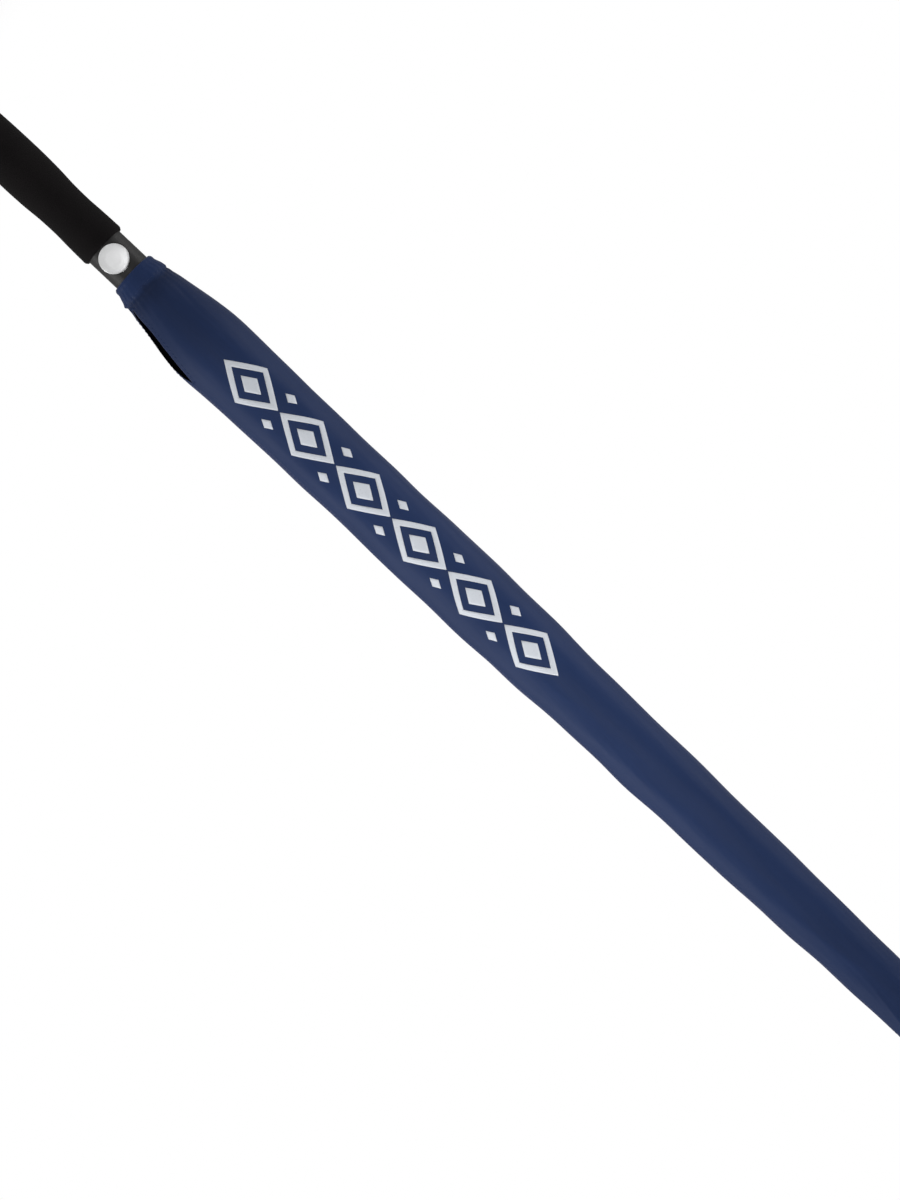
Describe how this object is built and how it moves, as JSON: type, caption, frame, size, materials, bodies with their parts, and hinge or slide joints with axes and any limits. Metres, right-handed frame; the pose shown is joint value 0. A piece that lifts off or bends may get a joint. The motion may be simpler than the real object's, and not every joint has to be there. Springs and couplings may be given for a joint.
{
  "type": "golf umbrella",
  "caption": "Folded stick golf umbrella in a fabric sleeve, with a foam grip, a round push button and a ribbed frame that opens on a sliding runner.",
  "frame": {"origin": "centre of the flat end of the handle", "axes": "+Z along the shaft from the handle to the ferrule, -Y towards the push button (which is turned 6 degrees towards +X)"},
  "size_m": [0.0454, 0.0454, 1],
  "materials": {
    "grip_foam": "matte EVA foam",
    "charcoal_plastic": "satin moulded plastic",
    "black_plastic": "semi-gloss moulded plastic",
    "silver_button": "satin-plated plastic",
    "spring_steel": "bright wire and sheet",
    "coated_shaft": "black coated tube",
    "coated_steel": "black coated steel",
    "fibreglass": "black fibreglass rod",
    "canopy_fabric": "navy pongee, satin",
    "sleeve_fabric": "navy polyester, satin, with an off-white printed pattern"
  },
  "bodies": {
    "handle_and_shaft": {"grip": "grip_foam", "grip_end_cap": "black_plastic", "handle_core": "charcoal_plastic", "button_collar": "charcoal_plastic", "latch_pin": "spring_steel", "latch_spring": "spring_steel", "shaft": "coated_shaft", "shaft_plug": "charcoal_plastic", "opening_spring": "spring_steel", "top_notch": "charcoal_plastic", "notch_wire": "spring_steel", "canopy_cap": "charcoal_plastic", "ferrule": "black_plastic"},
    "push_button": {"push_button": "silver_button"},
    "latch": {"latch_lever": "spring_steel"},
    "rib_1": {"rib_1": "fibreglass", "rib_tip_1": "black_plastic"},
    "stretcher_1": {"stretcher_1": "coated_steel"},
    "canopy_panel_1": {"canopy_panel_1": "canopy_fabric"},
    "rib_2": {"rib_2": "fibreglass", "rib_tip_2": "black_plastic"},
    "stretcher_2": {"stretcher_2": "coated_steel"},
    "canopy_panel_2": {"canopy_panel_2": "canopy_fabric"},
    "rib_3": {"rib_3": "fibreglass", "rib_tip_3": "black_plastic"},
    "stretcher_3": {"stretcher_3": "coated_steel"},
    "canopy_panel_3": {"canopy_panel_3": "canopy_fabric"},
    "rib_4": {"rib_4": "fibreglass", "rib_tip_4": "black_plastic"},
    "stretcher_4": {"stretcher_4": "coated_steel"},
    "canopy_panel_4": {"canopy_panel_4": "canopy_fabric"},
    "rib_5": {"rib_5": "fibreglass", "rib_tip_5": "black_plastic"},
    "stretcher_5": {"stretcher_5": "coated_steel"},
    "canopy_panel_5": {"canopy_panel_5": "canopy_fabric"},
    "rib_6": {"rib_6": "fibreglass", "rib_tip_6": "black_plastic"},
    "stretcher_6": {"stretcher_6": "coated_steel"},
    "canopy_panel_6": {"canopy_panel_6": "canopy_fabric"},
    "rib_7": {"rib_7": "fibreglass", "rib_tip_7": "black_plastic"},
    "stretcher_7": {"stretcher_7": "coated_steel"},
    "canopy_panel_7": {"canopy_panel_7": "canopy_fabric"},
    "rib_8": {"rib_8": "fibreglass", "rib_tip_8": "black_plastic"},
    "stretcher_8": {"stretcher_8": "coated_steel"},
    "canopy_panel_8": {"canopy_panel_8": "canopy_fabric"},
    "runner": {"runner": "charcoal_plastic", "runner_wire": "spring_steel", "drive_plug": "spring_steel"},
    "sleeve": {"sleeve": "sleeve_fabric"}
  },
  "joints": [
    {"name": "button_press", "type": "slide", "parent": "handle_and_shaft", "child": "push_button", "axis": [-0.1045, 0.9945, 0], "range_m": [0, 0.0018], "stiffness_N_per_m": 500, "springref_m": -0.001, "deforming": ["latch_spring"]},
    {"name": "latch_tip", "type": "hinge", "parent": "handle_and_shaft", "child": "latch", "pos_m": [0.00096, -0.00915, 0.19], "axis": [0.9945, 0.1045, 0], "range_deg": [0, 9.4]},
    {"name": "frame_open", "type": "hinge", "parent": "handle_and_shaft", "child": "rib_1", "pos_m": [0.00905, 0.00375, 0.95], "axis": [0.3827, -0.9239, 0], "range_deg": [0, 64.74], "deforming": ["opening_spring", "sleeve"]},
    {"name": "stretcher_1_swing", "type": "hinge", "parent": "rib_1", "child": "stretcher_1", "pos_m": [0.01053, 0.00436, 0.594], "axis": [0.3827, -0.9239, 0], "range_deg": [-129.48, 0]},
    {"name": "canopy_panel_1_spread", "type": "hinge", "parent": "rib_1", "child": "canopy_panel_1", "pos_m": [0.0075, 0.0075, 0.95], "axis": [0.6102, 0.6102, -0.5054], "range_deg": [0, 47.29], "deforming": ["canopy_panel_1"]},
    {"name": "rib_2_swing", "type": "hinge", "parent": "handle_and_shaft", "child": "rib_2", "pos_m": [0.00375, 0.00905, 0.95], "axis": [0.9239, -0.3827, 0], "range_deg": [0, 64.74]},
    {"name": "stretcher_2_swing", "type": "hinge", "parent": "rib_2", "child": "stretcher_2", "pos_m": [0.00436, 0.01053, 0.594], "axis": [0.9239, -0.3827, 0], "range_deg": [-129.48, 0]},
    {"name": "canopy_panel_2_spread", "type": "hinge", "parent": "rib_2", "child": "canopy_panel_2", "pos_m": [0, 0.01061, 0.95], "axis": [0, 0.8629, -0.5054], "range_deg": [0, 47.29], "deforming": ["canopy_panel_2"]},
    {"name": "rib_3_swing", "type": "hinge", "parent": "handle_and_shaft", "child": "rib_3", "pos_m": [-0.00375, 0.00905, 0.95], "axis": [0.9239, 0.3827, 0], "range_deg": [0, 64.74]},
    {"name": "stretcher_3_swing", "type": "hinge", "parent": "rib_3", "child": "stretcher_3", "pos_m": [-0.00436, 0.01053, 0.594], "axis": [0.9239, 0.3827, 0], "range_deg": [-129.48, 0]},
    {"name": "canopy_panel_3_spread", "type": "hinge", "parent": "rib_3", "child": "canopy_panel_3", "pos_m": [-0.0075, 0.0075, 0.95], "axis": [-0.6102, 0.6102, -0.5054], "range_deg": [0, 47.29], "deforming": ["canopy_panel_3"]},
    {"name": "rib_4_swing", "type": "hinge", "parent": "handle_and_shaft", "child": "rib_4", "pos_m": [-0.00905, 0.00375, 0.95], "axis": [0.3827, 0.9239, 0], "range_deg": [0, 64.74]},
    {"name": "stretcher_4_swing", "type": "hinge", "parent": "rib_4", "child": "stretcher_4", "pos_m": [-0.01053, 0.00436, 0.594], "axis": [0.3827, 0.9239, 0], "range_deg": [-129.48, 0]},
    {"name": "canopy_panel_4_spread", "type": "hinge", "parent": "rib_4", "child": "canopy_panel_4", "pos_m": [-0.01061, 0, 0.95], "axis": [-0.8629, 0, -0.5054], "range_deg": [0, 47.29], "deforming": ["canopy_panel_4"]},
    {"name": "rib_5_swing", "type": "hinge", "parent": "handle_and_shaft", "child": "rib_5", "pos_m": [-0.00905, -0.00375, 0.95], "axis": [-0.3827, 0.9239, 0], "range_deg": [0, 64.74]},
    {"name": "stretcher_5_swing", "type": "hinge", "parent": "rib_5", "child": "stretcher_5", "pos_m": [-0.01053, -0.00436, 0.594], "axis": [-0.3827, 0.9239, 0], "range_deg": [-129.48, 0]},
    {"name": "canopy_panel_5_spread", "type": "hinge", "parent": "rib_5", "child": "canopy_panel_5", "pos_m": [-0.0075, -0.0075, 0.95], "axis": [-0.6102, -0.6102, -0.5054], "range_deg": [0, 47.29], "deforming": ["canopy_panel_5"]},
    {"name": "rib_6_swing", "type": "hinge", "parent": "handle_and_shaft", "child": "rib_6", "pos_m": [-0.00375, -0.00905, 0.95], "axis": [-0.9239, 0.3827, 0], "range_deg": [0, 64.74]},
    {"name": "stretcher_6_swing", "type": "hinge", "parent": "rib_6", "child": "stretcher_6", "pos_m": [-0.00436, -0.01053, 0.594], "axis": [-0.9239, 0.3827, 0], "range_deg": [-129.48, 0]},
    {"name": "canopy_panel_6_spread", "type": "hinge", "parent": "rib_6", "child": "canopy_panel_6", "pos_m": [0, -0.01061, 0.95], "axis": [0, -0.8629, -0.5054], "range_deg": [0, 47.29], "deforming": ["canopy_panel_6"]},
    {"name": "rib_7_swing", "type": "hinge", "parent": "handle_and_shaft", "child": "rib_7", "pos_m": [0.00375, -0.00905, 0.95], "axis": [-0.9239, -0.3827, 0], "range_deg": [0, 64.74]},
    {"name": "stretcher_7_swing", "type": "hinge", "parent": "rib_7", "child": "stretcher_7", "pos_m": [0.00436, -0.01053, 0.594], "axis": [-0.9239, -0.3827, 0], "range_deg": [-129.48, 0]},
    {"name": "canopy_panel_7_spread", "type": "hinge", "parent": "rib_7", "child": "canopy_panel_7", "pos_m": [0.0075, -0.0075, 0.95], "axis": [0.6102, -0.6102, -0.5054], "range_deg": [0, 47.29], "deforming": ["canopy_panel_7"]},
    {"name": "rib_8_swing", "type": "hinge", "parent": "handle_and_shaft", "child": "rib_8", "pos_m": [0.00905, -0.00375, 0.95], "axis": [-0.3827, -0.9239, 0], "range_deg": [0, 64.74]},
    {"name": "stretcher_8_swing", "type": "hinge", "parent": "rib_8", "child": "stretcher_8", "pos_m": [0.01053, -0.00436, 0.594], "axis": [-0.3827, -0.9239, 0], "range_deg": [-129.48, 0]},
    {"name": "canopy_panel_8_spread", "type": "hinge", "parent": "rib_8", "child": "canopy_panel_8", "pos_m": [0.01061, 0, 0.95], "axis": [0.8629, 0, -0.5054], "range_deg": [0, 47.29], "deforming": ["canopy_panel_8"]},
    {"name": "runner_level", "type": "hinge", "parent": "stretcher_1", "child": "runner", "pos_m": [0.00905, 0.00375, 0.23801], "axis": [0.3827, -0.9239, 0], "range_deg": [0, 64.74]},
    {"name": "sleeve_slide", "type": "slide", "parent": "handle_and_shaft", "child": "sleeve", "axis": [0, 0, 1], "range_m": [0, 0.85]}
  ],
  "couplings": [
    {"joint": "latch_tip", "follows": "button_press", "rad_per_m": 90.09},
    {"joint": "stretcher_1_swing", "follows": "frame_open", "ratio": -2},
    {"joint": "canopy_panel_1_spread", "follows": "frame_open", "ratio": 0.73047},
    {"joint": "rib_2_swing", "follows": "frame_open", "ratio": 1},
    {"joint": "stretcher_2_swing", "follows": "frame_open", "ratio": -2},
    {"joint": "canopy_panel_2_spread", "follows": "frame_open", "ratio": 0.73047},
    {"joint": "rib_3_swing", "follows": "frame_open", "ratio": 1},
    {"joint": "stretcher_3_swing", "follows": "frame_open", "ratio": -2},
    {"joint": "canopy_panel_3_spread", "follows": "frame_open", "ratio": 0.73047},
    {"joint": "rib_4_swing", "follows": "frame_open", "ratio": 1},
    {"joint": "stretcher_4_swing", "follows": "frame_open", "ratio": -2},
    {"joint": "canopy_panel_4_spread", "follows": "frame_open", "ratio": 0.73047},
    {"joint": "rib_5_swing", "follows": "frame_open", "ratio": 1},
    {"joint": "stretcher_5_swing", "follows": "frame_open", "ratio": -2},
    {"joint": "canopy_panel_5_spread", "follows": "frame_open", "ratio": 0.73047},
    {"joint": "rib_6_swing", "follows": "frame_open", "ratio": 1},
    {"joint": "stretcher_6_swing", "follows": "frame_open", "ratio": -2},
    {"joint": "canopy_panel_6_spread", "follows": "frame_open", "ratio": 0.73047},
    {"joint": "rib_7_swing", "follows": "frame_open", "ratio": 1},
    {"joint": "stretcher_7_swing", "follows": "frame_open", "ratio": -2},
    {"joint": "canopy_panel_7_spread", "follows": "frame_open", "ratio": 0.73047},
    {"joint": "rib_8_swing", "follows": "frame_open", "ratio": 1},
    {"joint": "stretcher_8_swing", "follows": "frame_open", "ratio": -2},
    {"joint": "canopy_panel_8_spread", "follows": "frame_open", "ratio": 0.73047},
    {"joint": "runner_level", "follows": "frame_open", "ratio": 1}
  ]
}
